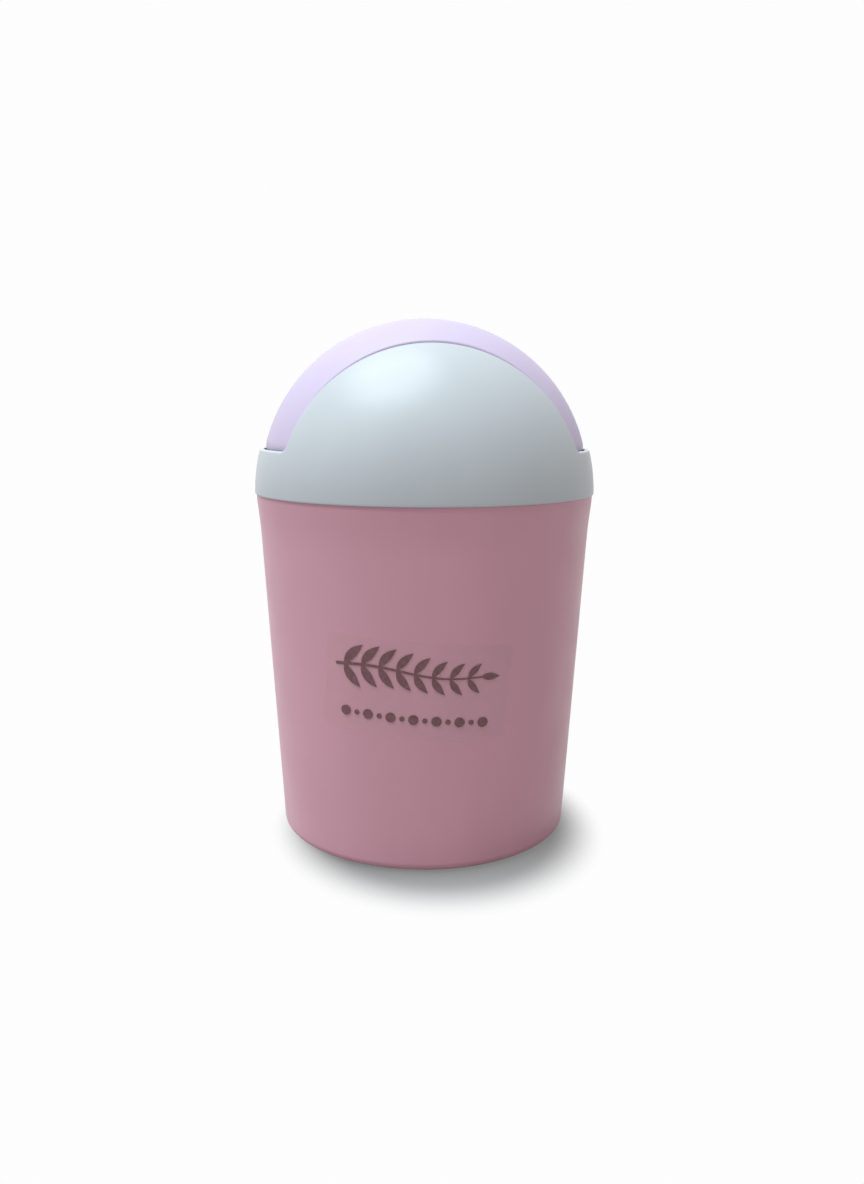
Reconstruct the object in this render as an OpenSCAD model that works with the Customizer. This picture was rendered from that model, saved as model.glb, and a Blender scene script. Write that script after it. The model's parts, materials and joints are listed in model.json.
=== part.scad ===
// Small countertop bin: a tapered tub, a domed lid that plugs into its rim, and a
// flap that swings between the lid's two cheeks.
// Millimetres. The origin is the middle of the foot, +Z is up, the front is -Y, and
// the flap swings about an axis along Y.

/* [Tub] */
// Outer radius of the tub just under its rim
rim_r = 59.2; // [54:0.1:66]
// Outer radius of the tub where it stands
foot_r = 52; // [46:0.1:58]
// Height of the tub
tub_h = 122; // [100:1:150]
// Thickness of the tub's wall
tub_wall = 1.6; // [1.2:0.1:2.4]
// Thickness of the tub's floor
tub_floor = 2; // [1.4:0.1:4]
// Rounding between the tub's wall and its floor
tub_fillet = 3; // [1.5:0.1:5]
// Height of the ring that the tub stands on
foot_h = 1.2; // [0.6:0.1:2.4]
// Width of the ring that the tub stands on
foot_w = 4; // [2:0.1:8]
// How far the bead round the rim stands out from the wall
bead_out = 0.4; // [0.2:0.1:1]
// Height of the bead round the rim
bead_h = 2.4; // [1.5:0.1:4]

/* [Lid] */
// How far the lid's edge stands out past the rim bead
lid_overhang = 0.6; // [0.2:0.1:1.5]
// Thickness of the lid's domed shell
lid_wall = 1.4; // [1:0.1:2]
// Thickness of the flat walls beside the flap
cheek_wall = 1.5; // [1:0.1:2.4]
// Height of the collar, from the tub's rim to the ends of the flap
collar_h = 15.5; // [12:0.1:19]
// Width of the slot between the lid's cheeks
slot_w = 64; // [56:0.5:67]
// Depth of the skirt that plugs into the tub
skirt_h = 7; // [4:0.5:10]
// Thickness of the skirt
skirt_wall = 1.3; // [1:0.1:2]
// Gap all round between the skirt and the tub
skirt_gap = 0.3; // [0.15:0.05:0.6]
// Thickness of the ledge that rests on the tub's rim
seat_t = 1.6; // [1.2:0.1:2.4]

/* [Flap] */
// Thickness of the flap's shell and sides
flap_wall = 1.5; // [1.1:0.1:2.2]
// Gap between each side of the flap and the slot
flap_side_gap = 0.8; // [0.5:0.1:1.4]
// Height of the gap between the flap's ends and the collar's top edge
flap_end_gap = 0.5; // [0.3:0.1:1]
// Gap that lets the flap's ends pass inside the collar
flap_pass_gap = 0.35; // [0.25:0.05:0.8]
// Width of the lip turned inward at each end of the flap
lip_w = 6; // [3:0.5:9]
// Thickness of that lip
lip_t = 2.4; // [1.2:0.1:4]

/* [Pivot] */
// Depth of the pivot below the dome's top
pivot_drop = 19.2; // [18:0.1:22]
// Radius of the pivot pin's shank
pin_r = 2.5; // [2:0.1:3]
// Clearance all round the pin where it turns in the lid
pin_run_gap = 0.08; // [0.04:0.01:0.1]
// Clearance all round the pin where it sits in the flap
pin_seat_gap = 0.02; // [0.01:0.01:0.05]
// Radius of the pin's head
head_r = 4.2; // [3.6:0.1:5]
// Thickness of the pin's head
head_t = 1.2; // [0.8:0.1:2]
// How far the pin's barbed tip stands out past its shank
barb_out = 0.4; // [0.2:0.1:0.6]
// Length of the barbed tip
barb_l = 2.4; // [1.6:0.1:3]
// Play along the pin between the barb and the lid
barb_gap = 0.3; // [0.2:0.1:0.6]
// Width of the slit that lets the barb spring
slit_w = 0.8; // [0.5:0.1:1]
// Radius of the bosses that the pins pass through
boss_r = 5.5; // [5:0.1:6.5]
// Height of the bosses that the pins pass through
boss_t = 1.5; // [1:0.1:2]

/* [Stop] */
// Swing of the flap to either side, in degrees
swing = 65; // [45:1:70]
// Distance of the stop below the pivot
stop_d = 9.5; // [9:0.1:11]
// Radius of the stop
stop_r = 1.5; // [1.1:0.1:2]
// Depth of the stop in its curved slot
stop_in = 1; // [0.6:0.1:1.2]
// Gap round the stop in its curved slot
stop_gap = 0.25; // [0.2:0.05:0.5]

/* [Label] */
// Width of the clear label
label_w = 60; // [40:1:70]
// Height of the clear label
label_h = 32; // [20:1:45]
// Height of the label's middle above the table
label_z = 63.5; // [45:0.5:80]
// Turn of the label round the tub from the front, in degrees
label_turn = -7.3; // [-20:0.1:20]
// Tilt of the label's upper edge, in degrees
label_tilt = -4.3; // [-10:0.1:10]
// Thickness of the label
label_t = 0.15; // [0.1:0.05:0.3]
// Thickness of the glue between the label and the tub
label_glue = 0.05; // [0.02:0.01:0.1]
// Rounding of the label's corners
label_corner = 2; // [0.5:0.1:5]

/* [Hidden] */
$fn = 128;

// Length by which a cutter runs past the surface that it cuts
past = 1;
// Length by which joined solids run into each other
bite = 0.4;

// Tub
flare = atan((rim_r - foot_r) / tub_h);
floor_z = foot_h + tub_floor;
bead_r = rim_r + bead_out;

// Lid, measured from the middle of its lower edge
dome_r = bead_r + lid_overhang;
dome_in_r = dome_r - lid_wall;
slot_y = slot_w / 2;
cheek_y = slot_y + cheek_wall;
skirt_low_z = tub_h - skirt_h;

// Flap: its sphere meets the dome's top and passes inside the collar at its ends
flap_y = slot_y - flap_side_gap;
flap_low = collar_h + flap_end_gap;
flap_end_x = sqrt(pow(dome_in_r, 2) - pow(collar_h, 2)) - flap_pass_gap;
flap_rise = (pow(dome_r, 2) - pow(flap_low, 2) - pow(flap_end_x, 2))
    / (2 * (dome_r - flap_low));
flap_r = dome_r - flap_rise;
flap_in_r = flap_r - flap_wall;
flap_in_y = flap_y - flap_wall;

// Pivot
pivot_z = tub_h + dome_r - pivot_drop;
flap_boss_y = flap_in_y - boss_t;
lid_boss_y = cheek_y + boss_t;

// Outer radius of the tub's wall at height z
function tub_r(z) = foot_r + z * tan(flare);

// Radius of the skirt's outer face at height z
function skirt_r(z) = tub_r(z) - tub_wall - skirt_gap;

// Lays what is drawn round the Z axis round an axis along Y at height z, with its
// base at y
module across(z, y) {
    translate([0, y, z])
        rotate([-90, 0, 0])
            children();
}

// What is drawn for the back, and its mirror image at the front
module both_sides() {
    children();
    mirror([0, 1, 0])
        children();
}

// A block that runs from low to high along Y and fills everything above height z
module block(low_y, high_y, z) {
    size = 2.5 * dome_r;
    translate([-size / 2, low_y, z])
        cube([size, high_y - low_y, size]);
}

// Half outline of a cup that widens from r0 at height z0 to r1 at height z1, with
// its lower edge rounded by f
module cup_outline(r0, r1, z0, z1, f) {
    lean = atan((r1 - r0) / (z1 - z0));
    mid_x = r0 - f * (1 - sin(lean)) / cos(lean);
    mid_z = z0 + f;
    polygon([[0, z0], [mid_x, z0], [mid_x + f * cos(lean), mid_z - f * sin(lean)],
        [r1, z1], [0, z1]]);
    translate([mid_x, mid_z])
        circle(f);
}

// The tub: a flared cup on a low ring, with a bead round its rim
module bin_body() {
    color([0.78, 0.6, 0.66])
        difference() {
            union() {
                rotate_extrude()
                    cup_outline(foot_r, rim_r, 0, tub_h, tub_fillet);
                rim_bead();
            }
            rotate_extrude()
                cup_outline(tub_r(floor_z) - tub_wall, tub_r(tub_h + past) - tub_wall,
                    floor_z, tub_h + past, tub_fillet);
            translate([0, 0, -past])
                cylinder(r = foot_r - tub_fillet - foot_w, h = foot_h + past);
        }
}

module rim_bead() {
    low_z = tub_h - bead_h;
    in_r = rim_r - tub_wall / 2;
    rotate_extrude()
        polygon([[in_r, low_z], [tub_r(low_z), low_z], [bead_r, low_z + bead_out],
            [bead_r, tub_h], [in_r, tub_h]]);
}

// The lid: a dome that rests on the rim, a skirt that plugs in, and two hollow
// cheeks with the slot for the flap between them
module lid_housing() {
    color([0.93, 0.94, 0.95])
        difference() {
            union() {
                dome_shell();
                skirt();
                both_sides()
                    across(pivot_z, cheek_y - bite)
                        cylinder(r = boss_r, h = boss_t + bite);
            }
            both_sides() {
                across(pivot_z, slot_y - past)
                    cylinder(r = pin_r + pin_run_gap, h = cheek_wall + boss_t + 2 * past);
                stop_slot();
            }
        }
}

module dome_shell() {
    difference() {
        translate([0, 0, tub_h])
            intersection() {
                sphere(dome_r);
                block(-2 * dome_r, 2 * dome_r, 0);
            }
        translate([0, 0, tub_h])
            intersection() {
                sphere(dome_in_r);
                union() {
                    block(-slot_y, slot_y, -past);
                    both_sides()
                        block(cheek_y, dome_r, -past);
                }
            }
        translate([0, 0, tub_h])
            block(-slot_y, slot_y, collar_h);
    }
}

module skirt() {
    rotate_extrude()
        polygon([[skirt_r(skirt_low_z) - skirt_wall, skirt_low_z],
            [skirt_r(skirt_low_z), skirt_low_z], [skirt_r(tub_h), tub_h],
            [dome_in_r + bite, tub_h], [dome_in_r + bite, tub_h + seat_t],
            [skirt_r(tub_h) - skirt_wall, tub_h + seat_t]]);
}

// Curved slot through the wall of a cheek, in which the flap's stop runs
module stop_slot() {
    half_w = stop_r + stop_gap;
    end_turn = swing + asin(half_w / stop_d);
    reach = 2 * stop_d;
    across(pivot_z, slot_y - past)
        linear_extrude(cheek_wall + 2 * past)
            intersection() {
                difference() {
                    circle(stop_d + half_w);
                    circle(stop_d - half_w);
                }
                polygon([[0, 0], [reach * sin(end_turn), reach * cos(end_turn)],
                    [reach, reach], [-reach, reach],
                    [-reach * sin(end_turn), reach * cos(end_turn)]]);
            }
}

// The flap: a hollow band of a ball, with a lip across each end, a boss for each
// pin and a stop on each side
module swing_flap() {
    color([0.85, 0.8, 0.9])
        difference() {
            union() {
                flap_shell();
                both_sides() {
                    across(pivot_z, flap_boss_y)
                        cylinder(r = boss_r, h = boss_t + bite);
                    across(pivot_z - stop_d, flap_y - bite)
                        cylinder(r = stop_r, h = bite + flap_side_gap + stop_in);
                }
            }
            both_sides()
                across(pivot_z, flap_boss_y - past)
                    cylinder(r = pin_r + pin_seat_gap, h = boss_t + flap_wall + 2 * past);
        }
}

module flap_shell() {
    ball_z = tub_h + flap_rise;
    low_z = tub_h + flap_low;
    lip_x = flap_end_x - lip_w;
    difference() {
        intersection() {
            translate([0, 0, ball_z])
                sphere(flap_r);
            block(-flap_y, flap_y, low_z);
        }
        intersection() {
            translate([0, 0, ball_z])
                sphere(flap_in_r);
            union() {
                block(-flap_in_y, flap_in_y, low_z + lip_t);
                translate([-lip_x, -flap_in_y, low_z - past])
                    cube([2 * lip_x, 2 * flap_in_y, lip_t + 2 * past]);
            }
        }
    }
}

// A push-in pin: a head inside the flap, a shank through flap and cheek, and a
// split barb behind the cheek
module pivot_pin() {
    barb_y = lid_boss_y + barb_gap;
    tip_y = barb_y + barb_l;
    across(pivot_z, 0)
        difference() {
            rotate_extrude()
                polygon([[0, flap_boss_y - head_t], [head_r, flap_boss_y - head_t],
                    [head_r, flap_boss_y], [pin_r, flap_boss_y], [pin_r, barb_y],
                    [pin_r + barb_out, barb_y], [pin_r - barb_out, tip_y], [0, tip_y]]);
            translate([-slit_w / 2, -pin_r - past, cheek_y])
                cube([slit_w, 2 * (pin_r + past), tip_y - cheek_y + past]);
        }
}

module pivot_pin_front() {
    color([0.86, 0.87, 0.88])
        mirror([0, 1, 0])
            pivot_pin();
}

module pivot_pin_back() {
    color([0.86, 0.87, 0.88])
        pivot_pin();
}

// The clear label: a thin sheet that follows the tub's cone
module front_label() {
    low_z = label_z - label_h;
    high_z = label_z + label_h;
    low_r = tub_r(low_z) + label_glue;
    high_r = tub_r(high_z) + label_glue;
    color([0.86, 0.74, 0.78])
        intersection() {
            rotate_extrude()
                polygon([[low_r, low_z], [low_r + label_t, low_z],
                    [high_r + label_t, high_z], [high_r, high_z]]);
            rotate([0, 0, label_turn])
                translate([0, 0, label_z])
                    rotate([90, 0, 0])
                        linear_extrude(2 * rim_r)
                            rotate(label_tilt)
                                label_outline();
        }
}

module label_outline() {
    inset_w = label_w - 2 * label_corner;
    inset_h = label_h - 2 * label_corner;
    square([label_w, inset_h], center = true);
    square([inset_w, label_h], center = true);
    for (x = [-inset_w / 2, inset_w / 2])
        for (y = [-inset_h / 2, inset_h / 2])
            translate([x, y])
                circle(label_corner);
}

bin_body();
lid_housing();
swing_flap();
pivot_pin_front();
pivot_pin_back();
front_label();
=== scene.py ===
"""Looks of a small countertop bin with a swing lid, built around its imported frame.

Everything is in metres, in the frame's own axes: +Z up, the front and its label towards
-Y, and the flap's pivot along Y. Each new piece is a set of closed shells. The two pivot
pins are the frame's own, with a better material.
"""

import json
import math
from collections import Counter

import bmesh
import bpy
import numpy as np
from mathutils import Euler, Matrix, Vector
from mathutils.geometry import delaunay_2d_cdt, tessellate_polygon


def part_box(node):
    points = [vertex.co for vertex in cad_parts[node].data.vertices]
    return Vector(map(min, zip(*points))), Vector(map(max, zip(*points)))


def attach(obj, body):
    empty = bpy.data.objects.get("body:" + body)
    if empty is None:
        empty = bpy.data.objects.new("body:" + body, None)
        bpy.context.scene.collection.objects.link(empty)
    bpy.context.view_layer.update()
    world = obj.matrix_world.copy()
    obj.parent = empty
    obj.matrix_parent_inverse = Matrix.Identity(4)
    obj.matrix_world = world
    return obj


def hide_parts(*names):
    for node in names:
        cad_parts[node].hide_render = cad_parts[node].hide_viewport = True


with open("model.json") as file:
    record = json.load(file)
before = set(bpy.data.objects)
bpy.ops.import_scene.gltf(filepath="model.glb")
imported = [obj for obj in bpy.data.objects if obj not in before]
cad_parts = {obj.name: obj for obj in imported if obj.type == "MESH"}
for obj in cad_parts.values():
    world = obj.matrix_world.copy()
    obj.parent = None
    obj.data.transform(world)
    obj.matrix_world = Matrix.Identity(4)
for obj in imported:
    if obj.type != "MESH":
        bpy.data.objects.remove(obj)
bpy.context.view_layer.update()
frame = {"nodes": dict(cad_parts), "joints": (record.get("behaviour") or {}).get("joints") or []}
MM = 0.001

# ---------------------------------------------------------------- sizes of the frame
# These follow the part's source, under its own names where it has them. The heights of the
# tub and of the pivot are read off the frame itself.
RIM_R = 59.2 * MM           # of the tub's wall, under the bead
FOOT_R = 52.0 * MM
TUB_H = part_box("bin_body")[1].z
TUB_WALL = 1.6 * MM
TUB_FLOOR = 2.0 * MM
TUB_FILLET = 3.0 * MM       # between the wall and the floor
FOOT_H = 1.2 * MM           # of the ring that the tub stands on
FOOT_W = 4.0 * MM
BEAD_OUT = 0.4 * MM         # of the bead round the rim
BEAD_H = 2.4 * MM
FLOOR_Z = FOOT_H + TUB_FLOOR
BEAD_R = RIM_R + BEAD_OUT

LID_OVERHANG = 0.58 * MM    # a hair less than the solid's, whose round has flats
LID_WALL = 1.4 * MM
CHEEK_WALL = 1.5 * MM       # of the flat walls beside the flap
COLLAR_H = 15.5 * MM        # from the tub's rim up to the slot's ends
SLOT_Y = 32.0 * MM          # half the slot's width
SKIRT_H = 7.0 * MM          # of the ring that plugs into the tub
SKIRT_WALL = 1.3 * MM
SKIRT_GAP = 0.3 * MM
SEAT_T = 1.6 * MM           # of the ledge that rests on the tub's rim
DOME_R = BEAD_R + LID_OVERHANG
DOME_IN_R = DOME_R - LID_WALL
CHEEK_Y = SLOT_Y + CHEEK_WALL

FLAP_WALL = 1.5 * MM
FLAP_SIDE_GAP = 0.8 * MM
FLAP_END_GAP = 0.5 * MM     # in height, between the flap's ends and the collar
FLAP_PASS_GAP = 0.35 * MM   # by which the ends swing past the slot's edge
LIP_W = 6.0 * MM            # of the lip turned inward at each end
LIP_T = 2.4 * MM
FLAP_Y = SLOT_Y - FLAP_SIDE_GAP
FLAP_IN_Y = FLAP_Y - FLAP_WALL
FLAP_LOW = COLLAR_H + FLAP_END_GAP
FLAP_END_X = math.sqrt(DOME_IN_R**2 - COLLAR_H**2) - FLAP_PASS_GAP
# The flap is a band of a sphere whose middle lies this far above the rim, so that it is as
# high as the dome at the top and passes through FLAP_END_X at its ends.
FLAP_RISE = (DOME_R**2 - FLAP_LOW**2 - FLAP_END_X**2) / (2 * (DOME_R - FLAP_LOW))
FLAP_R = DOME_R - FLAP_RISE
FLAP_IN_R = FLAP_R - FLAP_WALL

PIVOT_Z = next(j["pos_m"][2] for j in frame["joints"] if j["name"] == "flap_swing")
PIN_HOLE_R = 2.58 * MM      # of the holes that the pins turn in
BOSS_R = 5.5 * MM           # of the bosses round those holes
BOSS_T = 1.5 * MM
STOP_D = 9.5 * MM           # from the pivot down to the stop
STOP_R = 1.5 * MM
STOP_GAP = 0.25 * MM        # round the stop in its curved slot
STOP_IN = 1.0 * MM          # how deep the stop sits in that slot
SWING = math.radians(65)    # of the flap, to either side

LABEL_W = 60.0 * MM
LABEL_H = 32.0 * MM
LABEL_Z = 63.5 * MM         # of the label's middle
LABEL_TURN = math.radians(-7.3)  # round the tub, from the front
LABEL_TILT = math.radians(-4.3)  # of the label's upper edge
LABEL_T = 0.15 * MM
LABEL_GLUE = 0.05 * MM      # between the label and the tub
LABEL_CORNER = 2.0 * MM

# ---------------------------------------------------------------- sizes of the looks
AROUND = 256                # segments round the tub
SHARP = math.radians(38)    # edges that turn by more than this stay sharp
WELD = 1e-7                 # points closer than this are one point
NO_LENGTH = 1e-8            # edges and faces thinner than this are dissolved
BITE = 0.4 * MM             # how far shells of one piece run into each other
SEAT_LIFT = 0.05 * MM       # of the lid's ledge above the tub's rim
HOLD = 0.25 * MM            # from a rounding's end to the next point of the flat beside it
MOST_OF_FLAT = 0.45         # the largest share of a flat that one rounding may take

EDGE_ROUND = 0.4 * MM       # rounding of a moulded edge
BEAD_BLEND = 9.0 * MM       # height over which the bead swells from the wall
BEAD_BEND = 200 * MM        # radius of the two slight bends of that swell
BEAD_TOP = 0.2 * MM         # rounding of the bead where the lid sits on it

RIM_ROUND = 0.35 * MM       # rounding of the lid's lower edge
SLOT_ROUND = 0.9 * MM       # of the slot's outer edge
SLOT_IN_ROUND = 0.3 * MM    # of the slot's inner edge at its ends
CHEEK_IN_ROUND = 0.03 * MM  # of the slot's inner edge where a cheek's wall joins it
SLOT_CORNER = 2.2 * MM      # of the slot's four corners
CROWDING = 0.78             # how much closer the slot's points lie near its corners
SKIN_REACH = 0.36           # share of a skin's length that its direction at an end governs
SKIN_EVEN = 0.03, 0.97      # a skin's points are evenly spread between these shares of it,
SKIN_CLOSE = 0.012, 0.988   # and one more lies close to either end
CHEEK_FOOT = 0.1 * MM       # height of the cheeks' lower edge above the tub's rim
CHEEK_SHOULDER = 0.96 * COLLAR_H  # below this height the cheeks run into the dome's shell

FLAP_DROP = 2.4 * MM        # how far the flap's lower edge hangs below its solid's
FLAP_ROUND = 1.0 * MM       # rounding between the band and its flat sides
FLAP_IN_ROUND = 0.6 * MM
FLAP_EDGE = 0.25 * MM       # rounding of the flap's lower edge, on each side
END_BAND = 6.0 * MM         # height of the closely meshed ends of the band
END_BEND = 2.0 * MM         # softness of the bend that brings the ends onto their circle

LABEL_MESH = 1.0 * MM       # size of the film's triangles
INK_GAP = 0.01 * MM         # between the film and the ink
INK_T = 0.03 * MM
INK_TIP = 0.02 * MM         # half the width of a printed mark at its tips

SPRIG_LEFT = -26.5 * MM     # the stem's ends, from the label's middle
SPRIG_RIGHT = 21.5 * MM
SPRIG_UP = 5.6 * MM         # the stem's height above that middle
SPRIG_WAVE = 1.0 * MM       # how far the stem waves up and down
STEM_HALF_W = 0.5 * MM
STEM_TAPER = 0.5            # share of that width that is gone at the stem's end
LEAF_PAIRS = 8
LEAF_TURN = math.radians(54)
LEAF_L = 9.2 * MM
LEAF_HALF_W = 1.5 * MM
LEAF_SHRINK = 0.045         # from one pair to the next
LEAF_OFF_STEM = 0.1 * MM    # from the stem's line to a leaf's root
LEAF_BELLY = 0.85           # less than 1 puts a leaf's widest place nearer to its root
LEAF_FAN = 1.15             # a leaf's first direction, as a share of its angle
LEAF_BEND = 0.45            # and how much of that share is gone at its tip
BARE_STEM = 0.4             # pitches of stem past the last pair, on top of half a pitch
END_LEAF_BACK = 1.0 * MM    # from the stem's end to the end leaf's root
END_LEAF_TURN = math.radians(3)
END_LEAF_L = 5.8 * MM
END_LEAF_HALF_W = 1.2 * MM

DOTS = 13
DOTS_UP = -9.8 * MM         # the row's height above the label's middle
DOT_PITCH = 3.7 * MM
BIG_DOT_R = 1.65 * MM
SMALL_DOT_R = 0.85 * MM

# ---------------------------------------------------------------- colours and textures
TUB_PINK = (0.755, 0.384, 0.476)
LID_WHITE = (0.588, 0.612, 0.643)
FLAP_LILAC = (0.625, 0.525, 0.695)
PIN_WHITE = (0.72, 0.73, 0.74)
FILM_COLOURS = (0.80, 0.62, 0.62), (0.88, 0.72, 0.72)
INK_COLOURS = (0.165, 0.064, 0.074), (0.235, 0.106, 0.119)
FLOOR_BOUNCE = (0.32, 0.30, 0.29, 1)  # for the light that the floor throws back

# Scales of noise textures. A scale of 38 gives features about 1/38 m wide.
CLOUD_SCALE = 38            # of the clouds in a moulded colour
CLOUD_STRETCH = (1, 1, 0.45)
GLOSS_SCALE = 70            # of the patches in its gloss
GRAIN_SCALE = 2600          # of the moulded grain
FILM_SCALE = 90             # of the film's milkiness
RIPPLE_SCALE = 140          # of the film's ripples
INK_SCALE = 900             # of the ink's mottle
NOISE_RANGE = 0.3, 0.7      # most of a noise's values lie between these

GLOSSIER = 0.04             # how far a moulded piece's roughness wanders down
ROUGHER = 0.05              # and up
GRAIN_STRENGTH = 0.12
GRAIN_DEPTH = 0.02 * MM
PLASTIC_SPECULAR = 0.35
RIPPLE_STRENGTH = 0.1
RIPPLE_DEPTH = 0.05 * MM
FILM_ROUGHNESS = 0.22
FILM_COVER = 0.07           # how little the clear film hides
INK_ROUGHNESS = 0.5

# ---------------------------------------------------------------- light, floor, view
WHITE = 0.985               # what the photograph's background shows
KEY_TOWARD = (-0.275, -0.06, 0.93)
KEY_STRENGTH = 1.24 * math.pi
KEY_SOFTNESS = math.radians(45)
KEY_COLOUR = (0.82, 0.945, 1.0)
FILL_STRENGTH = 0.38
FILL_COLOUR = (1.0, 0.965, 0.94, 1)

FLOOR_HALF = 6.0            # half the length of the floor's sides
# Painted shadow: the floor shows its real shading only inside this patch round the foot, and plain
# white outside it.
SHADOW_FROM = 0.98 * FOOT_R  # where the floor's shaded patch starts to fade
SHADOW_TO = 1.45 * FOOT_R   # and where it is gone
SHADOW_WHITE = 0.22         # share of plain white in the patch's middle
SHADOW_SHIFT = (-5.2 * MM, 9 * MM, 0)  # puts the patch to the right and the front
SHADOW_SQUEEZE = (1.22, 1, 1)  # and makes it narrower from side to side
CONTACT_OPEN = 0.5, 0.95    # how open the floor is to the sky, by the foot and away from it
PAINTED_CONTACT_SHADE = 0.05, 0.43   # painted contact shadow: the shaded floor's grey in those two places
CONTACT_SAMPLES = 16

PHOTO_H = 1184              # in pixels
FOCAL = 1007.5              # in the same pixels
SENSOR_H = 24               # in millimetres. The lens follows from it
CLIP_START = 0.01
CAMERA_AT = (-28.9 * MM, -362.7 * MM, 152.4 * MM)
PITCH = math.radians(10.48)  # down
HEADING = math.radians(5.0)  # to the right
ROLL = math.radians(0.25)


def tub_r(z):
    """Outer radius of the tub's wall at height z."""
    return FOOT_R + z * (RIM_R - FOOT_R) / TUB_H


def skirt_r(z):
    """Outer radius of the lid's skirt at height z."""
    return tub_r(z) - TUB_WALL - SKIRT_GAP


# ---------------------------------------------------------------- mesh tools
class Pieces:
    """Collects closed shells of points and faces, and makes one object of them."""

    def __init__(self):
        self.points = []
        self.faces = []

    def add(self, points, faces):
        """Adds a shell, whose faces number its own points from 0."""
        start = len(self.points)
        self.points.extend(tuple(float(c) for c in p) for p in points)
        self.faces.extend(tuple(start + i for i in f) for f in faces)

    def build(self, name, material):
        """The object of all shells, shaded smooth between its sharp edges."""
        mesh = bpy.data.meshes.new(name)
        mesh.from_pydata(self.points, [], self.faces)
        mesh.materials.append(material)
        weld_and_face_out(mesh)
        mesh.shade_smooth()
        mesh.set_sharp_from_angle(angle=SHARP)
        return put_in_scene(name, mesh)


def put_in_scene(name, data):
    """A new object of a mesh, lamp or camera."""
    obj = bpy.data.objects.new(name, data)
    bpy.context.scene.collection.objects.link(obj)
    return obj


def weld_and_face_out(mesh):
    """Merges points that coincide, drops faces with no area, and turns faces outward."""
    bm = bmesh.new()
    bm.from_mesh(mesh)
    bmesh.ops.remove_doubles(bm, verts=bm.verts, dist=WELD)
    bmesh.ops.dissolve_degenerate(bm, edges=bm.edges, dist=NO_LENGTH)
    bmesh.ops.recalc_face_normals(bm, faces=bm.faces)
    bm.to_mesh(mesh)
    bm.free()


def grid_faces(rows, columns, close_rows=False, close_columns=False):
    """Quads of a grid whose points run along the columns first."""
    faces = []
    for i in range(rows if close_rows else rows - 1):
        for j in range(columns if close_columns else columns - 1):
            a = i * columns + j
            b = i * columns + (j + 1) % columns
            c = ((i + 1) % rows) * columns + (j + 1) % columns
            d = ((i + 1) % rows) * columns + j
            faces.append((a, b, c, d))
    return faces


def grid_border(rows, columns):
    """A grid's outermost points, in order round it."""
    border = list(range(columns))
    border += [i * columns + columns - 1 for i in range(1, rows)]
    border += [(rows - 1) * columns + j for j in range(columns - 2, -1, -1)]
    border += [i * columns for i in range(rows - 2, 0, -1)]
    return border


def two_sided(faces, count):
    """The faces, and their like on the next count points, turned over."""
    return faces + [tuple(count + i for i in reversed(face)) for face in faces]


def between(first, second):
    """Quads that join two closed loops of as many points."""
    count = len(first)
    return [(first[i], first[(i + 1) % count], second[(i + 1) % count], second[i])
            for i in range(count)]


def unit(v):
    """The vector at length 1."""
    return v / np.linalg.norm(v)


def half_angle(toward_a, toward_b):
    """Half the angle between two unit directions."""
    return math.acos(np.clip(toward_a @ toward_b, -1, 1)) / 2


def corner_arc(corner, toward_a, toward_b, f, steps):
    """Points of a rounding of radius f at a corner between two unit directions."""
    half = half_angle(toward_a, toward_b)
    reach = f / math.tan(half)
    middle = corner + unit(toward_a + toward_b) * f / math.sin(half)
    start = corner + toward_a * reach - middle
    end = corner + toward_b * reach - middle
    span = math.pi - 2 * half
    points = []
    for t in np.linspace(0, 1, steps + 1):
        mix = math.sin((1 - t) * span) * start + math.sin(t * span) * end
        points.append(middle + mix / math.sin(span))
    return points


def rounded_path(corners, steps=6):
    """Points of a closed outline. Each corner is (r, z, radius of its rounding), and the
    radius shrinks where the flats beside it are short. Where a rounding leaves room, one
    more point on the flat keeps the flat's shading even."""
    path = []
    for i, (r, z, f) in enumerate(corners):
        here = np.array([r, z])
        if f <= 0:
            path.append(here)
            continue
        before = np.array(corners[i - 1][:2]) - here
        after = np.array(corners[(i + 1) % len(corners)][:2]) - here
        room_before = np.linalg.norm(before)
        room_after = np.linalg.norm(after)
        before, after = unit(before), unit(after)
        half = half_angle(before, after)
        reach = min(f / math.tan(half), MOST_OF_FLAT * room_before, MOST_OF_FLAT * room_after)
        if room_before > reach + 3 * HOLD:
            path.append(here + before * (reach + HOLD))
        path += corner_arc(here, before, after, reach * math.tan(half), steps)
        if room_after > reach + 3 * HOLD:
            path.append(here + after * (reach + HOLD))
    return path


def about_z(r, z, c, s):
    """How turned() places an outline of (radius, height) round the bin's own axis, at the
    cosine c and the sine s of each turn."""
    return (r * c, r * s, z)


def about_y(y_side, height):
    """How turned() places an outline of (radius, distance) round an axis along Y."""
    return lambda r, y, c, s: (r * c, y_side * y, height + r * s)


def turned(path, around=AROUND, place=about_z, closed=True):
    """Points and faces of an outline turned once round an axis. The outline is closed, or
    starts and ends on the axis."""
    turns = [2 * math.pi * k / around for k in range(around)]
    points = [place(r, z, math.cos(a), math.sin(a)) for a in turns for r, z in path]
    return points, grid_faces(around, len(path), close_rows=True, close_columns=closed)


def slab(loops, place):
    """A closed plate with holes. loops are 2D outlines, the first one outermost, and
    place(u, v, side) gives the 3D point on side 0 or 1."""
    flat = [(u, v) for loop in loops for u, v in loop]
    triangles = tessellate_polygon([[Vector((u, v, 0)) for u, v in loop] for loop in loops])
    count = len(flat)
    points = [place(u, v, side) for side in (0, 1) for u, v in flat]
    faces = two_sided([tuple(t) for t in triangles], count)
    start = 0
    for loop in loops:
        edge = range(start, start + len(loop))
        faces += between(edge, [count + i for i in edge])
        start += len(loop)
    return points, faces


def arc(radius, start, end, steps, middle=(0, 0)):
    """Points of an arc, with angles from the first axis."""
    turns = np.linspace(start, end, steps + 1)
    return [(middle[0] + radius * math.cos(a), middle[1] + radius * math.sin(a)) for a in turns]


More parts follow.
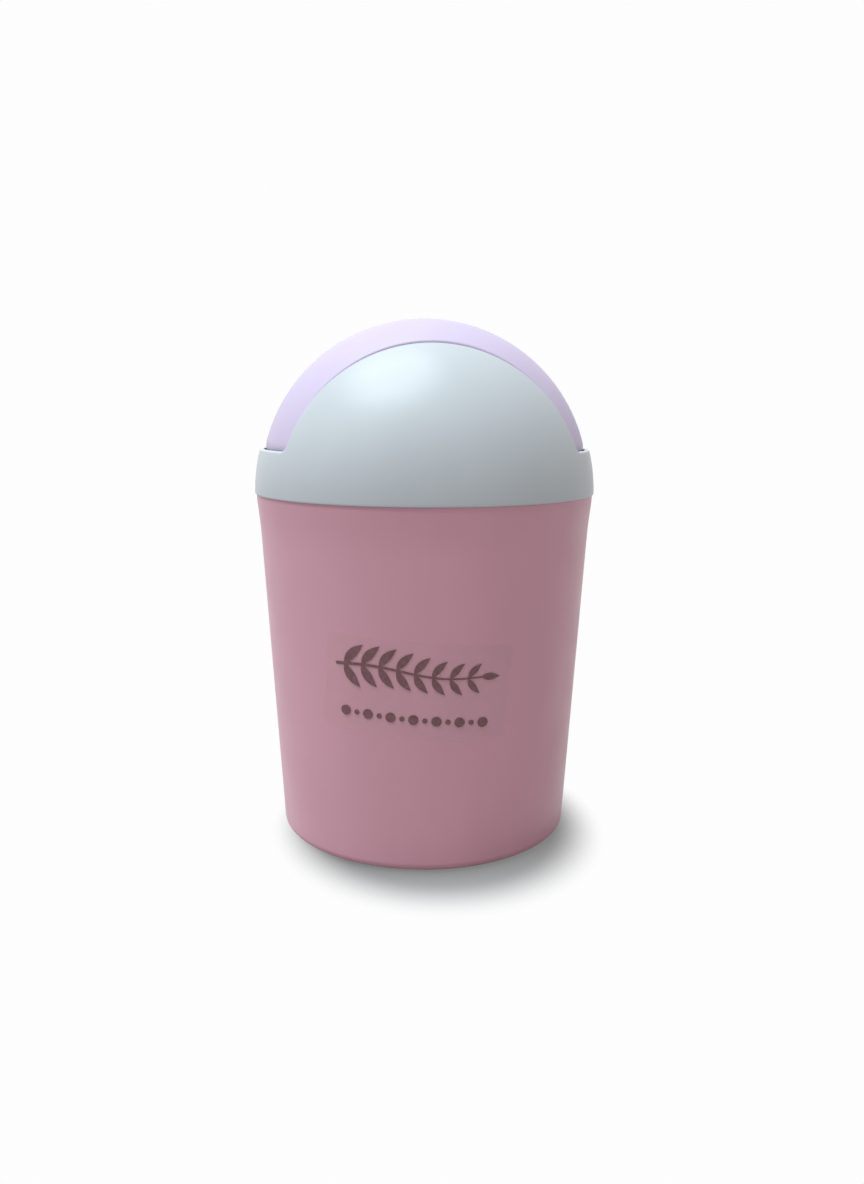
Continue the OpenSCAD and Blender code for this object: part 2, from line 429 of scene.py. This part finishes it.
def bezier(control, t):
    """The point at share t of a curve with any number of control points."""
    control = list(control)
    while len(control) > 1:
        control = [(1 - t) * a + t * b for a, b in zip(control, control[1:])]
    return control[0]


# ---------------------------------------------------------------- materials
def nodes_of(name):
    """A new material, its node tree and its shader."""
    material = bpy.data.materials.new(name)
    material.use_nodes = True
    tree = material.node_tree
    return material, tree, tree.nodes["Principled BSDF"]


def noise(tree, scale, detail=3, stretch=(1, 1, 1)):
    """A noise texture in the frame's own metres."""
    place = tree.nodes.new("ShaderNodeTexCoord")
    mapping = tree.nodes.new("ShaderNodeMapping")
    mapping.inputs["Scale"].default_value = stretch
    texture = tree.nodes.new("ShaderNodeTexNoise")
    texture.inputs["Scale"].default_value = scale
    texture.inputs["Detail"].default_value = detail
    tree.links.new(place.outputs["Object"], mapping.inputs["Vector"])
    tree.links.new(mapping.outputs["Vector"], texture.inputs["Vector"])
    return texture


def ramp(tree, texture, low, high):
    """Turns a noise texture's value into a colour between low and high."""
    node = tree.nodes.new("ShaderNodeValToRGB")
    for stop, place, colour in zip(node.color_ramp.elements, NOISE_RANGE, (low, high)):
        stop.position = place
        stop.color = (*colour, 1)
    tree.links.new(texture.outputs["Fac"], node.inputs["Fac"])
    return node.outputs["Color"]


def mapped(tree, value, from_low, from_high, to_low, to_high, shape="LINEAR"):
    """Maps a value from one range to another."""
    node = tree.nodes.new("ShaderNodeMapRange")
    node.interpolation_type = shape
    node.inputs["From Min"].default_value = from_low
    node.inputs["From Max"].default_value = from_high
    node.inputs["To Min"].default_value = to_low
    node.inputs["To Max"].default_value = to_high
    tree.links.new(value, node.inputs["Value"])
    return node.outputs["Result"]


def mixed(tree, share, first, second):
    """A mix of two shaders, all second where the share is 1."""
    node = tree.nodes.new("ShaderNodeMixShader")
    tree.links.new(share, node.inputs["Fac"])
    tree.links.new(first, node.inputs[1])
    tree.links.new(second, node.inputs[2])
    return node.outputs["Shader"]


def relief(tree, shader, texture, strength, depth):
    """Gives the shader a texture's bumps."""
    bump = tree.nodes.new("ShaderNodeBump")
    bump.inputs["Strength"].default_value = strength
    bump.inputs["Distance"].default_value = depth
    tree.links.new(texture.outputs["Fac"], bump.inputs["Height"])
    tree.links.new(bump.outputs["Normal"], shader.inputs["Normal"])


def moulded_plastic(name, colour, spread, roughness):
    """Injection-moulded plastic: cloudy colour, uneven gloss and a fine moulded grain.
    spread is how far the colour wanders to either side."""
    material, tree, shader = nodes_of(name)
    low = [c * (1 - spread) for c in colour]
    high = [min(c * (1 + spread), 1) for c in colour]
    clouds = ramp(tree, noise(tree, CLOUD_SCALE, stretch=CLOUD_STRETCH), low, high)
    tree.links.new(clouds, shader.inputs["Base Color"])
    patches = noise(tree, GLOSS_SCALE).outputs["Fac"]
    rough = mapped(tree, patches, *NOISE_RANGE, roughness - GLOSSIER, roughness + ROUGHER)
    tree.links.new(rough, shader.inputs["Roughness"])
    relief(tree, shader, noise(tree, GRAIN_SCALE, detail=2), GRAIN_STRENGTH, GRAIN_DEPTH)
    shader.inputs["Specular IOR Level"].default_value = PLASTIC_SPECULAR
    return material


def label_film():
    """Clear film: thin, glossy, and a little milky over the pink."""
    material, tree, shader = nodes_of("label_film")
    clouds = ramp(tree, noise(tree, FILM_SCALE), *FILM_COLOURS)
    tree.links.new(clouds, shader.inputs["Base Color"])
    relief(tree, shader, noise(tree, RIPPLE_SCALE, detail=2), RIPPLE_STRENGTH, RIPPLE_DEPTH)
    shader.inputs["Roughness"].default_value = FILM_ROUGHNESS
    shader.inputs["Alpha"].default_value = FILM_COVER
    return material


def label_ink():
    """Grey-brown ink with a slightly mottled cover."""
    material, tree, shader = nodes_of("label_ink")
    mottle = ramp(tree, noise(tree, INK_SCALE), *INK_COLOURS)
    tree.links.new(mottle, shader.inputs["Base Color"])
    shader.inputs["Roughness"].default_value = INK_ROUGHNESS
    return material


# ---------------------------------------------------------------- the tub
def make_tub(material):
    """The flared tub: foot ring, rounded base, wall, rim bead, and its inside."""
    recess_r = FOOT_R - TUB_FILLET - FOOT_W
    bead_low = TUB_H - BEAD_H
    blend_low = bead_low - BEAD_BLEND
    path = rounded_path([
        (0, FOOT_H, 0),
        (recess_r, FOOT_H, EDGE_ROUND),
        (recess_r, 0, EDGE_ROUND),
        (FOOT_R, 0, TUB_FILLET),
        (tub_r(blend_low), blend_low, BEAD_BEND),
        (BEAD_R, bead_low + BEAD_OUT, BEAD_BEND),
        (BEAD_R, TUB_H, BEAD_TOP),
        (tub_r(TUB_H) - TUB_WALL, TUB_H, EDGE_ROUND),
        (tub_r(FLOOR_Z) - TUB_WALL, FLOOR_Z, TUB_FILLET),
        (0, FLOOR_Z, 0),
    ])
    pieces = Pieces()
    pieces.add(*turned(path, closed=False))
    return pieces.build("tub", material)


# ---------------------------------------------------------------- the lid
def crowded(t):
    """Moves evenly spread shares towards both ends."""
    return t - CROWDING * math.sin(2 * math.pi * t) / (2 * math.pi)


def slot_edge(radius, cheek_steps=170, end_steps=80):
    """The slot's edge on a sphere of that radius: its points in order, and for each the
    azimuth of the point of the lid's lower edge that belongs to it."""
    edge_r = math.sqrt(radius**2 - SLOT_Y**2)
    low_turn = math.asin(COLLAR_H / edge_r)
    ledge_r = math.sqrt(radius**2 - COLLAR_H**2)
    corner = math.asin(SLOT_Y / ledge_r)
    rim_corner = math.asin(SLOT_Y / math.sqrt(DOME_R**2 - COLLAR_H**2))
    points, azimuths, corners = [], [], []
    for side, first in ((1, 0), (-1, math.pi)):
        for k in range(cheek_steps):
            t = crowded(k / cheek_steps)
            turn = low_turn + t * (math.pi - 2 * low_turn)
            x, z = edge_r * math.cos(turn), edge_r * math.sin(turn)
            corners.append(k == 0)
            points.append(np.array((side * x, side * SLOT_Y, z)))
            azimuths.append(first + rim_corner + t * (math.pi - 2 * rim_corner))
        for k in range(end_steps):
            t = crowded(k / end_steps)
            turn = first + math.pi - corner + 2 * t * corner
            corners.append(k == 0)
            points.append(np.array((ledge_r * math.cos(turn), ledge_r * math.sin(turn), COLLAR_H)))
            azimuths.append(first + math.pi - rim_corner + 2 * t * rim_corner)
    points = round_corners(points, corners, SLOT_CORNER)
    return [unit(p) * radius for p in points], azimuths


def round_corners(points, corners, reach):
    """Bends a closed line of points round its corners, over that reach on either side."""
    count = len(points)
    bent = list(points)
    for c in (i for i in range(count) if corners[i]):
        sides = []
        for step in (-1, 1):
            near, gone, i = [], 0, c
            while gone < reach:
                gone += np.linalg.norm(points[(i + step) % count] - points[i % count])
                i += step
                near.append((i % count, gone))
            sides.append(near)
        control = [points[sides[0][-1][0]], points[c], points[sides[1][-1][0]]]
        for near, sign in zip(sides, (-1, 1)):
            far = near[-1][1]
            for i, gone in near[:-1]:
                bent[i] = bezier(control, (1 + sign * gone / far) / 2)
        bent[c] = bezier(control, 0.5)
    return bent


def set_on(points, index, radius):
    """Shifts a rounding so that its point of that index lies on the sphere."""
    shift = unit(points[index]) * radius - points[index]
    return [p + shift for p in points]


def skin_path(start, start_way, end, end_way, steps):
    """Points on the sphere round the origin from start to end, leaving along start_way and
    arriving against end_way. The ends themselves are left out. The points close to them
    keep the shading even beside a rounding."""
    reach = SKIN_REACH * np.linalg.norm(end - start)
    control = [start, start + start_way * reach, end + end_way * reach, end]
    radius = np.linalg.norm(end)
    shares = [SKIN_CLOSE[0], *np.linspace(*SKIN_EVEN, steps), SKIN_CLOSE[1]]
    return [unit(bezier(control, t)) * radius for t in shares]


def dome_column(outer, inner, away, away_in, azimuth, in_round):
    """Closed outline of the dome's shell at one station, from its lower edge up the
    outside, over the rounded edge of the slot, and down the inside. outer and inner are
    the slot's edges there, and away and away_in point down the skins from them."""
    out = np.array([math.cos(azimuth), math.sin(azimuth), 0])
    up = np.array([0, 0, 1.0])
    across = unit(inner - outer)
    low_arc = corner_arc(out * DOME_R, -out, up, RIM_ROUND, steps=4)
    low_arc = set_on(low_arc, -1, DOME_R)
    edge_arc = corner_arc(outer, away, across, SLOT_ROUND, steps=7)
    edge_arc = set_on(edge_arc, 0, DOME_R)
    in_arc = corner_arc(inner, -across, away_in, in_round, steps=3)
    in_arc = set_on(in_arc, -1, DOME_IN_R)
    skin = skin_path(low_arc[-1], up, edge_arc[0], away, steps=34)
    inside = skin_path(in_arc[-1], away_in, out * DOME_IN_R, up, steps=22)
    return low_arc + skin + edge_arc + in_arc + inside + [out * DOME_IN_R]


def dome_shell():
    """Points and faces of the dome's shell, from its outlines at all stations round the
    slot."""
    outer, azimuths = slot_edge(DOME_R)
    inner, _ = slot_edge(DOME_IN_R)
    count = len(outer)
    outlines = []
    for i in range(count):
        ways = []
        for edge in (outer, inner):
            along = edge[(i + 1) % count] - edge[i - 1]
            ways.append(unit(np.cross(along, edge[i])))
        on_end = abs(inner[i][1]) < SLOT_Y - 2 * SLOT_CORNER
        in_round = SLOT_IN_ROUND if on_end else CHEEK_IN_ROUND
        outlines.append(dome_column(outer[i], inner[i], *ways, azimuths[i], in_round))
    lift = np.array([0, 0, TUB_H])
    points = [p + lift for outline in outlines for p in outline]
    faces = grid_faces(count, len(outlines[0]), close_rows=True, close_columns=True)
    return points, faces


def cheek_plate(side):
    """The flat wall beside the flap, with the pin's hole and the stop's curved slot."""
    edge_in_r = math.sqrt(DOME_IN_R**2 - SLOT_Y**2)
    low_turn = math.asin(COLLAR_H / edge_in_r)
    outline = arc(edge_in_r, low_turn, math.pi - low_turn, steps=150)
    heights = np.linspace(CHEEK_SHOULDER, CHEEK_FOOT, 10)
    left = [(-math.sqrt(edge_in_r**2 - z * z) - BITE, z) for z in heights]
    outline += left + [(-x, z) for x, z in reversed(left)]
    pivot = (0, PIVOT_Z - TUB_H)
    hole = arc(PIN_HOLE_R, 0, 2 * math.pi, steps=48, middle=pivot)[:-1]
    half_w = STOP_R + STOP_GAP
    end_turn = SWING + math.asin(half_w / STOP_D)
    first, last = -math.pi / 2 - end_turn, -math.pi / 2 + end_turn
    slot = arc(STOP_D + half_w, first, last, steps=40, middle=pivot)
    slot += arc(STOP_D - half_w, last, first, steps=40, middle=pivot)
    depths = (SLOT_Y, CHEEK_Y)
    return slab([outline, hole, slot], lambda x, z, k: (x, side * depths[k], TUB_H + z))


def pin_boss(side, root_y, tip_y):
    """The ring round a pivot pin, from the wall that carries it to its rounded tip."""
    outline = rounded_path([
        (PIN_HOLE_R, root_y, 0),
        (BOSS_R, root_y, 0),
        (BOSS_R, tip_y, EDGE_ROUND),
        (PIN_HOLE_R, tip_y, 0),
    ])
    return turned(outline, around=64, place=about_y(side, PIVOT_Z))


def seat_and_skirt():
    """The ledge that rests on the tub's rim, and the ring that plugs into the tub."""
    low = TUB_H - SKIRT_H
    seat_low = TUB_H + SEAT_LIFT
    seat_top = TUB_H + SEAT_T
    return turned(rounded_path([
        (skirt_r(low) - SKIRT_WALL, low, EDGE_ROUND),
        (skirt_r(low), low, EDGE_ROUND),
        (skirt_r(TUB_H), seat_low, 0),
        (DOME_IN_R + BITE, seat_low, 0),
        (DOME_IN_R + BITE, seat_top, 0),
        (skirt_r(TUB_H) - SKIRT_WALL, seat_top, EDGE_ROUND),
    ]))


def make_lid(material):
    """The lid: domed shell with its slot, the flat walls beside the flap, the pin bosses,
    the seat and the skirt."""
    pieces = Pieces()
    pieces.add(*dome_shell())
    for side in (-1, 1):
        pieces.add(*cheek_plate(side))
        pieces.add(*pin_boss(side, CHEEK_Y - BITE, CHEEK_Y + BOSS_T))
    pieces.add(*seat_and_skirt())
    return pieces.build("lid_shell", material)


# ---------------------------------------------------------------- the flap
def end_limit(y, z):
    """How far out the flap's end may reach at (y, z), z above the tub's rim, to swing past
    the slot's edge."""
    ledge_x2 = DOME_IN_R**2 - COLLAR_H**2 - y**2
    pivot = PIVOT_Z - TUB_H
    reach = math.sqrt(ledge_x2 + (pivot - COLLAR_H) ** 2) - FLAP_PASS_GAP
    return math.sqrt(reach**2 - (pivot - z) ** 2)


def soft_min(a, b, bend):
    """The smaller of two lengths, bent smoothly where they are within bend of each other."""
    return min(a, b) - max(bend - abs(a - b), 0) ** 2 / (4 * bend)


def flap_section(radius, half_w, f):
    """(distance from the axis along Y, y) of a skin's points across the band, with a
    rounding of radius f at either side."""
    mid_r = math.sqrt((radius - f) ** 2 - (half_w - f) ** 2)
    edge_turn = math.atan2(half_w - f, mid_r)
    rounding = arc(f, edge_turn, math.pi / 2, steps=6, middle=(mid_r, half_w - f))
    band = arc(radius, -edge_turn, edge_turn, steps=44)
    return [(r, -y) for r, y in reversed(rounding)] + band[1:-1] + rounding


def flap_skin(radius, half_w, low, f, end_points=16, top_points=140, side_rows=8):
    """Grid of one skin of the flap: up one flat side, over its rounded edge, across the
    band and down the other side. Its lower edge lies at height low above the sphere's
    middle, and its two ends bend in there to clear the slot's edge."""
    ends = low + END_BAND * np.linspace(0, 1, end_points)
    rows = []
    for r, y in flap_section(radius, half_w, f):
        turns = [math.asin(z / r) for z in ends]
        turns += list(np.linspace(turns[-1], math.pi - turns[-1], top_points))[1:-1]
        turns += [math.pi - math.asin(z / r) for z in reversed(ends)]
        rows.append([(r * math.cos(a), y, r * math.sin(a)) for a in turns])
    sides = []
    for row in (rows[0], rows[-1]):
        sides.append([[(x, y, low + (z - low) * t) for x, y, z in row]
                      for t in np.linspace(0, 1, side_rows)[:-1]])
    grid = sides[0] + rows + list(reversed(sides[1]))

    def bent_in(x, y, z):
        """The point, moved in if it lies past what the swing leaves free."""
        if z > ends[-1] or abs(x) < FLAP_END_X / 2:
            return x, y, z
        limit = end_limit(y, z + FLAP_RISE) - (FLAP_R - radius)
        return math.copysign(soft_min(abs(x), limit, END_BEND), x), y, z

    return [[bent_in(*p) for p in row] for row in grid]


def rounded_edge(points, first, second, steps=4):
    """Rings from one skin's border to the other's, round the flap's lower edge. Their
    points are added to points."""
    turns = np.linspace(0, math.pi / 2, steps + 1)[1:]
    rings = [first]
    for here, there, sweep in ((first, second, turns), (second, first, reversed(turns))):
        for a in sweep:
            down = np.array([0, 0, FLAP_EDGE * math.sin(a)])
            ring = []
            for i, j in zip(here, there):
                inward = (np.array(points[j]) - points[i]) * (1, 1, 0)
                step = unit(inward) * FLAP_EDGE * (1 - math.cos(a))
                ring.append(len(points))
                points.append(tuple(points[i] + step - down))
            rings.append(ring)
    return rings + [second]


def flap_shell():
    """Points and faces of the flap's two skins, joined by a rounded lower edge."""
    low = FLAP_LOW - FLAP_DROP - FLAP_RISE + FLAP_EDGE
    outer = flap_skin(FLAP_R, FLAP_Y, low, FLAP_ROUND)
    inner = flap_skin(FLAP_IN_R, FLAP_IN_Y, low, FLAP_IN_ROUND)
    rows, columns = len(outer), len(outer[0])
    count = rows * columns
    points = [p for grid in (outer, inner) for row in grid for p in row]
    faces = two_sided(grid_faces(rows, columns), count)
    border = grid_border(rows, columns)
    rings = rounded_edge(points, border, [count + i for i in border])
    for ring, after in zip(rings, rings[1:]):
        faces += between(ring, after)
    lift = TUB_H + FLAP_RISE
    return [(x, y, z + lift) for x, y, z in points], faces


def flap_lip(side):
    """The lip turned inward at one end of the flap."""
    reach = FLAP_END_X - FLAP_WALL
    half_turn = math.acos((FLAP_END_X - LIP_W) / reach)
    heights = (TUB_H + FLAP_LOW, TUB_H + FLAP_LOW + LIP_T)
    outline = arc(reach, -half_turn, half_turn, steps=40)
    return slab([outline], lambda x, y, k: (side * x, y, heights[k]))


def flap_stop(side):
    """The stop on one side of the flap, which runs in the cheek's curved slot."""
    root_y = FLAP_Y - FLAP_EDGE
    tip_y = SLOT_Y + STOP_IN
    outline = rounded_path([
        (0, root_y, 0),
        (STOP_R, root_y, 0),
        (STOP_R, tip_y, EDGE_ROUND),
        (0, tip_y, 0),
    ])
    return turned(outline, around=40, place=about_y(side, PIVOT_Z - STOP_D), closed=False)


def make_flap(material):
    """The flap: two skins, a lip across each end, the pin bosses and the stops."""
    pieces = Pieces()
    pieces.add(*flap_shell())
    for side in (-1, 1):
        pieces.add(*flap_lip(side))
        pieces.add(*pin_boss(side, FLAP_Y - FLAP_EDGE, FLAP_IN_Y - BOSS_T))
        pieces.add(*flap_stop(side))
    return pieces.build("flap_shell", material)


# ---------------------------------------------------------------- the label
def on_tub(u, v, lift):
    """The point of the tub's wall that lies behind (u, v) of the label, from its middle."""
    x = u * math.cos(LABEL_TILT) - v * math.sin(LABEL_TILT)
    z = LABEL_Z + u * math.sin(LABEL_TILT) + v * math.cos(LABEL_TILT)
    r = tub_r(z) + lift
    turn = LABEL_TURN + math.asin(x / r)
    return (r * math.sin(turn), -r * math.cos(turn), z)


def label_outline():
    """The label's outline with its rounded corners, and a point every LABEL_MESH or so."""
    c = LABEL_CORNER
    outline = []
    for k, (x, y) in enumerate([(1, 1), (-1, 1), (-1, -1), (1, -1)]):
        middle = (x * (LABEL_W / 2 - c), y * (LABEL_H / 2 - c))
        outline += arc(c, k * math.pi / 2, (k + 1) * math.pi / 2, steps=8, middle=middle)
    dense = []
    for (u0, v0), (u1, v1) in zip(outline, outline[1:] + outline[:1]):
        steps = max(1, round(math.hypot(u1 - u0, v1 - v0) / LABEL_MESH))
        shares = [k / steps for k in range(steps)]
        dense += [(u0 + (u1 - u0) * t, v0 + (v1 - v0) * t) for t in shares]
    return dense


def border_edges(triangles):
    """The edges that only one triangle has, in that triangle's direction."""
    edges = [(a, b) for t in triangles for a, b in zip(t, t[1:] + t[:1])]
    uses = Counter(frozenset(edge) for edge in edges)
    return [edge for edge in edges if uses[frozenset(edge)] == 1]


def make_label(material):
    """The clear label, a thin film that follows the tub."""
    outline = label_outline()
    count = len(outline)
    columns, rows = (np.arange(LABEL_MESH - size / 2, size / 2 - LABEL_MESH / 2, LABEL_MESH)
                     for size in (LABEL_W, LABEL_H))
    corners = [Vector(p) for p in outline] + [Vector((u, v)) for u in columns for v in rows]
    rim = [(i, (i + 1) % count) for i in range(count)]
    inside_only = 1
    flat = delaunay_2d_cdt(corners, rim, [list(range(count))], inside_only, WELD)
    verts, triangles = flat[0], flat[2]
    points = [on_tub(v.x, v.y, LABEL_GLUE + LABEL_T) for v in verts]
    points += [on_tub(v.x, v.y, LABEL_GLUE) for v in verts]
    low = len(verts)
    faces = two_sided([tuple(t) for t in triangles], low)
    faces += [(a, low + a, low + b, b) for a, b in border_edges(triangles)]
    pieces = Pieces()
    pieces.add(points, faces)
    return pieces.build("label_sheet", material)


def stroke(pieces, line, half_widths, across=5):
    """A printed mark: a ribbon of ink along a line, half_widths[i] to either side of it."""
    ink_low = LABEL_GLUE + LABEL_T + INK_GAP
    ink_high = ink_low + INK_T
    line = [np.array(p) for p in line]
    ribbon = []
    for i, p in enumerate(line):
        ahead = unit(line[min(i + 1, len(line) - 1)] - line[max(i - 1, 0)])
        side = np.array([-ahead[1], ahead[0]])
        ribbon.append([p + side * half_widths[i] * t for t in np.linspace(-1, 1, across)])
    count = len(ribbon) * across
    points = [on_tub(u, v, lift) for lift in (ink_high, ink_low) for row in ribbon for u, v in row]
    border = grid_border(len(ribbon), across)
    faces = two_sided(grid_faces(len(ribbon), across), count)
    faces += between([count + i for i in border], border)
    pieces.add(points, faces)


def leaf(pieces, root, angle, length, half_width, steps=20):
    """A leaf that grows from root and bends a little towards the stem's end."""
    line, half_widths = [], []
    here = np.array(root, dtype=float)
    for t in np.linspace(0, 1, steps + 1):
        line.append(here)
        half_widths.append(max(half_width * math.sin(math.pi * t**LEAF_BELLY), INK_TIP))
        heading = angle * (LEAF_FAN - LEAF_BEND * t)
        here = here + length / steps * np.array([math.cos(heading), math.sin(heading)])
    stroke(pieces, line, half_widths)


def dot(pieces, middle, radius, steps=12):
    """A round printed dot."""
    u, v = middle
    turns = np.linspace(0, math.pi, steps + 1)
    line = [(u - radius * math.cos(a), v) for a in turns]
    stroke(pieces, line, [max(radius * math.sin(a), INK_TIP) for a in turns])


def stem(u):
    """Height of the sprig's gently waved stem at u."""
    share = (u - SPRIG_LEFT) / (SPRIG_RIGHT - SPRIG_LEFT)
    return SPRIG_UP + SPRIG_WAVE * math.sin(2 * math.pi * share)


def print_sprig(pieces, steps=60):
    """A stem with pairs of leaves that get smaller, and one leaf at its end."""
    line = [(u, stem(u)) for u in np.linspace(SPRIG_LEFT, SPRIG_RIGHT, steps + 1)]
    stroke(pieces, line, STEM_HALF_W * (1 - STEM_TAPER * np.linspace(0, 1, steps + 1)))
    pitch = (SPRIG_RIGHT - SPRIG_LEFT) / (LEAF_PAIRS + BARE_STEM)
    for k in range(LEAF_PAIRS):
        u = SPRIG_LEFT + (k + 0.5) * pitch
        size = 1 - LEAF_SHRINK * k
        for side in (-1, 1):
            root = (u, stem(u) + LEAF_OFF_STEM * side)
            leaf(pieces, root, side * LEAF_TURN, LEAF_L * size, LEAF_HALF_W * size)
    u = SPRIG_RIGHT - END_LEAF_BACK
    leaf(pieces, (u, stem(u)), END_LEAF_TURN, END_LEAF_L, END_LEAF_HALF_W)


def make_print(material):
    """A plain sprig over a row of dots, printed on the label."""
    pieces = Pieces()
    print_sprig(pieces)
    for k in range(DOTS):
        u = (k - (DOTS - 1) / 2) * DOT_PITCH
        dot(pieces, (u, DOTS_UP), BIG_DOT_R if k % 2 == 0 else SMALL_DOT_R)
    return pieces.build("label_print", material)


# ---------------------------------------------------------------- stage, light, camera
def seen_by_eye(tree):
    """1 for what the camera sees, also in gloss and through clear film."""
    path = tree.nodes.new("ShaderNodeLightPath")
    seen = path.outputs["Is Camera Ray"]
    for kind in ("Is Glossy Ray", "Is Transmission Ray"):
        larger = tree.nodes.new("ShaderNodeMath")
        larger.operation = "MAXIMUM"
        tree.links.new(seen, larger.inputs[0])
        tree.links.new(path.outputs[kind], larger.inputs[1])
        seen = larger.outputs["Value"]
    return seen


def painted_contact_shadow(tree):
    """Painted contact shadow: the shaded floor's grey, made darker close to the foot, where the
    floor is less open to the sky.
    """
    sky = tree.nodes.new("ShaderNodeAmbientOcclusion")
    sky.samples = CONTACT_SAMPLES
    sky.inputs["Distance"].default_value = FOOT_R
    return mapped(tree, sky.outputs["AO"], *CONTACT_OPEN, *PAINTED_CONTACT_SHADE)


def painted_shadow_mask(tree):
    """SHADOW_WHITE under the object, and 1 where the floor is plain white: the mask of a painted
    shadow.
    The floor's real shading shows only in this patch, which lies a little to the front and the
    right, as in the photograph."""
    place = tree.nodes.new("ShaderNodeTexCoord")
    shift = tree.nodes.new("ShaderNodeMapping")
    shift.inputs["Location"].default_value = SHADOW_SHIFT
    shift.inputs["Scale"].default_value = SHADOW_SQUEEZE
    length = tree.nodes.new("ShaderNodeVectorMath")
    length.operation = "LENGTH"
    tree.links.new(place.outputs["Object"], shift.inputs["Vector"])
    tree.links.new(shift.outputs["Vector"], length.inputs[0])
    distance = length.outputs["Value"]
    return mapped(tree, distance, SHADOW_FROM, SHADOW_TO, SHADOW_WHITE, 1, "SMOOTHSTEP")


def floor_material():
    """Grey for the light that the floor throws back. The eye sees a shaded patch round the foot
    that fades into plain white. The patch holds real shading with a painted contact shadow, and
    its shape is a painted shadow."""
    material = bpy.data.materials.new("floor")
    material.use_nodes = True
    tree = material.node_tree
    tree.nodes.clear()
    output = tree.nodes.new("ShaderNodeOutputMaterial")
    bounce = tree.nodes.new("ShaderNodeBsdfDiffuse")
    bounce.inputs["Color"].default_value = FLOOR_BOUNCE
    shade = tree.nodes.new("ShaderNodeBsdfDiffuse")
    # Painted contact shadow: the shaded floor's colour is darker by the foot.
    tree.links.new(painted_contact_shadow(tree), shade.inputs["Color"])
    plain = tree.nodes.new("ShaderNodeEmission")
    plain.inputs["Strength"].default_value = WHITE
    # Painted shadow: outside a patch round the foot, the eye sees plain white.
    seen = mixed(tree, painted_shadow_mask(tree), shade.outputs["BSDF"], plain.outputs["Emission"])
    surface = mixed(tree, seen_by_eye(tree), bounce.outputs["BSDF"], seen)
    tree.links.new(surface, output.inputs["Surface"])
    return material


def make_floor():
    """A wide pale floor. It shows near white, and keeps the object's shadow around it: part real
    shading, part painted shadow.
    """
    mesh = bpy.data.meshes.new("floor")
    far = FLOOR_HALF
    corners = [(-far, -far, 0), (far, -far, 0), (far, far, 0), (-far, far, 0)]
    mesh.from_pydata(corners, [], [(0, 1, 2, 3)])
    mesh.materials.append(floor_material())
    floor = put_in_scene("floor", mesh)


def make_world():
    """An even fill for the object, and a white backdrop for the eye."""
    world = bpy.data.worlds.new("world")
    world.use_nodes = True
    tree = world.node_tree
    tree.nodes.clear()
    output = tree.nodes.new("ShaderNodeOutputWorld")
    fill = tree.nodes.new("ShaderNodeBackground")
    fill.inputs["Color"].default_value = FILL_COLOUR
    fill.inputs["Strength"].default_value = FILL_STRENGTH
    backdrop = tree.nodes.new("ShaderNodeBackground")
    backdrop.inputs["Color"].default_value = (1, 1, 1, 1)
    backdrop.inputs["Strength"].default_value = WHITE
    surface = mixed(tree, seen_by_eye(tree), fill.outputs["Background"],
                    backdrop.outputs["Background"])
    tree.links.new(surface, output.inputs["Surface"])
    bpy.context.scene.world = world


def make_key_light():
    """One soft sun, high and to the left. A strength of pi lights a surface fully."""
    data = bpy.data.lights.new("key", "SUN")
    data.energy = KEY_STRENGTH
    data.angle = KEY_SOFTNESS
    data.color = KEY_COLOUR
    sun = put_in_scene("key", data)
    sun.rotation_euler = Vector(KEY_TOWARD).to_track_quat("Z", "Y").to_euler()


def make_camera():
    """The photograph's view: near, level with the lid and slightly from the left, looking
    a little down."""
    data = bpy.data.cameras.new("camera")
    data.sensor_fit = "VERTICAL"
    data.sensor_height = SENSOR_H
    data.lens = SENSOR_H * FOCAL / PHOTO_H
    data.clip_start = CLIP_START
    camera = put_in_scene("camera", data)
    camera.location = CAMERA_AT
    aim = Euler((math.pi / 2 - PITCH, 0, -HEADING)).to_matrix()
    camera.rotation_euler = (aim @ Euler((0, 0, ROLL)).to_matrix()).to_euler()
    bpy.context.scene.camera = camera


# ---------------------------------------------------------------- the scene
make_camera()
make_floor()
make_world()
make_key_light()

tub = make_tub(moulded_plastic("tub_plastic", TUB_PINK, spread=0.03, roughness=0.38))
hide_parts("bin_body")
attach(tub, "tub")

lid = make_lid(moulded_plastic("lid_plastic", LID_WHITE, spread=0.02, roughness=0.36))
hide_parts("lid_housing")
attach(lid, "lid")

flap = make_flap(moulded_plastic("flap_plastic", FLAP_LILAC, spread=0.02, roughness=0.47))
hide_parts("swing_flap")
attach(flap, "flap")

label = make_label(label_film())
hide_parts("front_label")
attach(label, "tub")

printed = make_print(label_ink())
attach(printed, "tub")

pin_plastic = moulded_plastic("pin_plastic", PIN_WHITE, spread=0.02, roughness=0.4)
for pin in ("pivot_pin_front", "pivot_pin_back"):
    mesh = frame["nodes"][pin].data
    mesh.materials.clear()
    mesh.materials.append(pin_plastic)

bpy.context.scene.view_settings.view_transform = "Standard"
